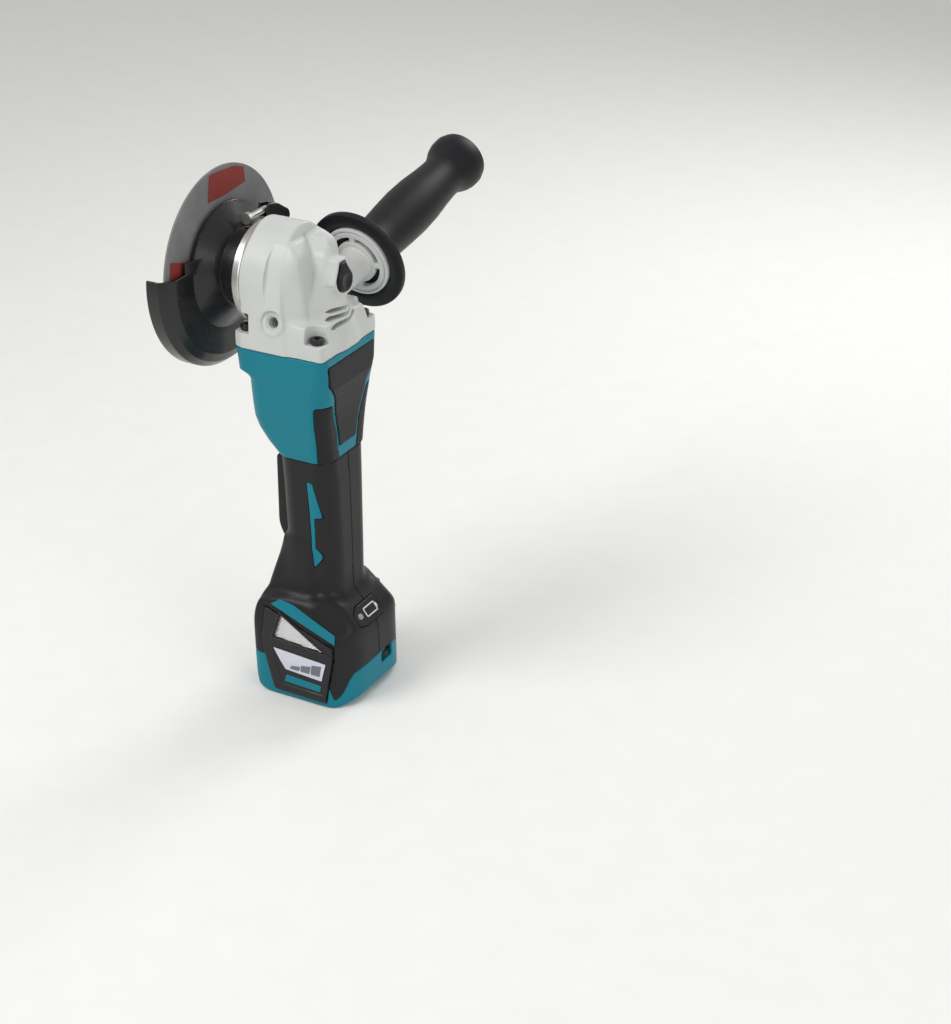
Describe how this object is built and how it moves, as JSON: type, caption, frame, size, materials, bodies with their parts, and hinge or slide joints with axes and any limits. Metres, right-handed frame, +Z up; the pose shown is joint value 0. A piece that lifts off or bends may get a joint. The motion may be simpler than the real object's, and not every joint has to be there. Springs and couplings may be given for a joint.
{
  "type": "angle grinder",
  "caption": "Cordless angle grinder standing on its battery foot, with a turning wheel guard, an angled side handle, a paddle switch and a shaft lock.",
  "frame": {"origin": "on the motor axis, at the level of the feet of the battery slide rails, at the middle of the slide interface", "axes": "+Z up the motor axis from the battery foot to the gear head; -X is the wheel side; +Y is the side handle; the spindle axis is parallel to X at z = 280 mm"},
  "size_m": [0.1167, 0.2658, 0.3425],
  "materials": {
    "painted_head": "off-white paint over die-cast aluminium, satin",
    "bare_aluminium": "bare machined aluminium",
    "black_steel": "black oxide steel",
    "machined_steel": "ground and oiled steel",
    "guard_steel": "gloss black powder coat on pressed steel",
    "abrasive": "resin-bonded abrasive with glass weave and printed panels",
    "teal_plastic": "teal glass-filled nylon, fine moulded grain",
    "black_plastic": "black glass-filled nylon, fine moulded grain",
    "grip_rubber": "black overmoulded elastomer",
    "grey_plastic": "light grey moulded nylon",
    "screen_mesh": "fine woven wire dust screen",
    "terminal_plastic": "yellow moulded terminal carrier with plated blades",
    "board": "potted circuit board"
  },
  "bodies": {
    "housing": {"gear_housing": "painted_head", "bearing_box": "bare_aluminium", "gear_housing_screw_1": "black_steel", "gear_housing_screw_2": "black_steel", "gear_housing_screw_3": "black_steel", "gear_housing_screw_4": "black_steel", "bearing_box_screw_1": "black_steel", "bearing_box_screw_2": "black_steel", "bearing_box_screw_3": "black_steel", "bearing_box_screw_4": "black_steel", "spindle_ball_bearing": "machined_steel", "spindle_needle_bearing": "machined_steel", "shaft_lock_spring": "machined_steel", "rotor_rear_bearing": "machined_steel", "rotor_front_bearing": "machined_steel", "stator_core": "machined_steel", "motor_housing": "teal_plastic", "soft_grip": "grip_rubber", "handle_shell_left": "black_plastic", "handle_shell_right": "black_plastic", "handle_trim": "teal_plastic", "handle_screw_1": "black_steel", "handle_screw_2": "black_steel", "handle_screw_3": "black_steel", "handle_screw_4": "black_steel", "battery_gauge_panel": "black_plastic", "paddle_pivot_pin": "machined_steel", "paddle_spring": "machined_steel", "trigger_switch": "black_plastic", "foot_base": "teal_plastic", "terminal_block": "terminal_plastic", "controller_board": "board"},
    "spindle": {"spindle": "machined_steel", "bevel_gear": "machined_steel", "inner_flange": "black_steel", "cutting_disc": "abrasive", "lock_nut": "black_steel"},
    "rotor": {"rotor_shaft": "machined_steel", "rotor_magnet": "machined_steel", "cooling_fan": "black_plastic", "bevel_pinion": "machined_steel"},
    "guard": {"wheel_guard": "guard_steel", "guard_clamp_band": "guard_steel", "guard_clamp_bolt": "machined_steel"},
    "clamp_lever": {"guard_clamp_lever": "guard_steel"},
    "shaft_lock": {"shaft_lock_button": "black_plastic", "shaft_lock_pin": "machined_steel"},
    "paddle": {"paddle_switch": "black_plastic"},
    "lock_off": {"lock_off_lever": "black_plastic"},
    "speed_dial": {"speed_dial": "black_plastic"},
    "check_button": {"battery_check_button": "grey_plastic"},
    "handle_stud": {"side_handle_stud": "machined_steel"},
    "side_handle": {"side_handle_core": "grey_plastic", "side_handle_grip": "grip_rubber"},
    "dust_cover_left": {"dust_cover_left": "black_plastic", "dust_screen_left": "screen_mesh"},
    "dust_cover_right": {"dust_cover_right": "black_plastic", "dust_screen_right": "screen_mesh"}
  },
  "joints": [
    {"name": "spindle_spin", "type": "hinge", "parent": "housing", "child": "spindle", "pos_m": [0, 0, 0.28], "axis": [1, 0, 0], "continuous": true},
    {"name": "rotor_spin", "type": "hinge", "parent": "housing", "child": "rotor", "pos_m": [0, 0, 0.2], "axis": [0, 0, 1], "continuous": true},
    {"name": "guard_turn", "type": "hinge", "parent": "housing", "child": "guard", "pos_m": [0, 0, 0.28], "axis": [1, 0, 0], "range_deg": [-90, 90]},
    {"name": "clamp_lever_open", "type": "hinge", "parent": "guard", "child": "clamp_lever", "pos_m": [-0.0386, 0.017, 0.313], "axis": [1, 0, 0], "range_deg": [0, 90]},
    {"name": "shaft_lock_push", "type": "slide", "parent": "housing", "child": "shaft_lock", "axis": [-1, 0, 0], "range_m": [0, 0.0032], "stiffness_N_per_m": 600, "springref_m": -0.002},
    {"name": "paddle_squeeze", "type": "hinge", "parent": "housing", "child": "paddle", "pos_m": [-0.008, 0, 0.159], "axis": [0, -1, 0], "range_deg": [0, 6], "stiffness_Nm_per_rad": 2.5, "springref_deg": -5.73},
    {"name": "lock_off_tilt", "type": "hinge", "parent": "paddle", "child": "lock_off", "pos_m": [-0.013, 0, 0.131], "axis": [0, -1, 0], "range_deg": [0, 25], "stiffness_Nm_per_rad": 0.05, "springref_deg": -11.46},
    {"name": "speed_dial_turn", "type": "hinge", "parent": "housing", "child": "speed_dial", "pos_m": [0.036, 0.0087, 0.021], "axis": [0, 0, 1], "range_deg": [0, 270]},
    {"name": "check_button_press", "type": "slide", "parent": "housing", "child": "check_button", "axis": [-0.788, 0, -0.6157], "range_m": [0, 0.0008], "stiffness_N_per_m": 800, "springref_m": -0.001},
    {"name": "side_handle_travel", "type": "slide", "parent": "housing", "child": "handle_stud", "axis": [0.026, 0.9731, 0.229], "range_m": [0, 0.0125]},
    {"name": "side_handle_unscrew", "type": "hinge", "parent": "handle_stud", "child": "side_handle", "pos_m": [-0.0014, 0.0654, 0.2697], "axis": [0.026, 0.9731, 0.229], "range_deg": [0, 3600]},
    {"name": "dust_cover_left_pull", "type": "slide", "parent": "housing", "child": "dust_cover_left", "axis": [0, -1, 0], "range_m": [0, 0.012]},
    {"name": "dust_cover_right_pull", "type": "slide", "parent": "housing", "child": "dust_cover_right", "axis": [0, 1, 0], "range_m": [0, 0.012]}
  ],
  "couplings": [
    {"joint": "rotor_spin", "follows": "spindle_spin", "ratio": -3.5},
    {"joint": "side_handle_unscrew", "follows": "side_handle_travel", "rad_per_m": 5026.5}
  ]
}
